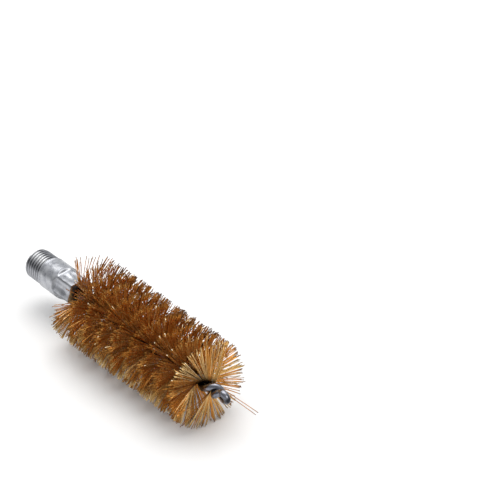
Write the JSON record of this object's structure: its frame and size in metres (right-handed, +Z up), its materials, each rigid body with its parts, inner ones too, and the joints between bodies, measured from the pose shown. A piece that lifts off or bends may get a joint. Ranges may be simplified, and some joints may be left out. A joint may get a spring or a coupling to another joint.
{
  "type": "bore cleaning brush",
  "caption": "Twisted-wire bore brush: round bronze bristles on a folded steel core with a tip loop and a threaded coupling.",
  "frame": {"origin": "on the floor below the middle of the whole length, the brush lying on its bristles", "axes": "+X along the brush's axis from the threaded coupling to the tip loop, +Z up, +Y to the left seen from behind the coupling"},
  "size_m": [0.0826, 0.021, 0.0207],
  "materials": {
    "coupling": "bright turned and crimped aluminium",
    "core": "drawn steel wire, dark and oily",
    "bristles": "fine drawn phosphor bronze wire"
  },
  "bodies": {
    "root": {"coupling": "coupling", "core_wire": "core", "bristle_ridge_01": "bristles", "bristle_ridge_02": "bristles", "bristle_ridge_03": "bristles", "bristle_ridge_04": "bristles", "bristle_ridge_05": "bristles", "bristle_ridge_06": "bristles", "bristle_ridge_07": "bristles", "bristle_ridge_08": "bristles", "bristle_ridge_09": "bristles", "bristle_ridge_10": "bristles", "stray_bristle_upper": "bristles", "stray_bristle_lower": "bristles"}
  },
  "joints": []
}
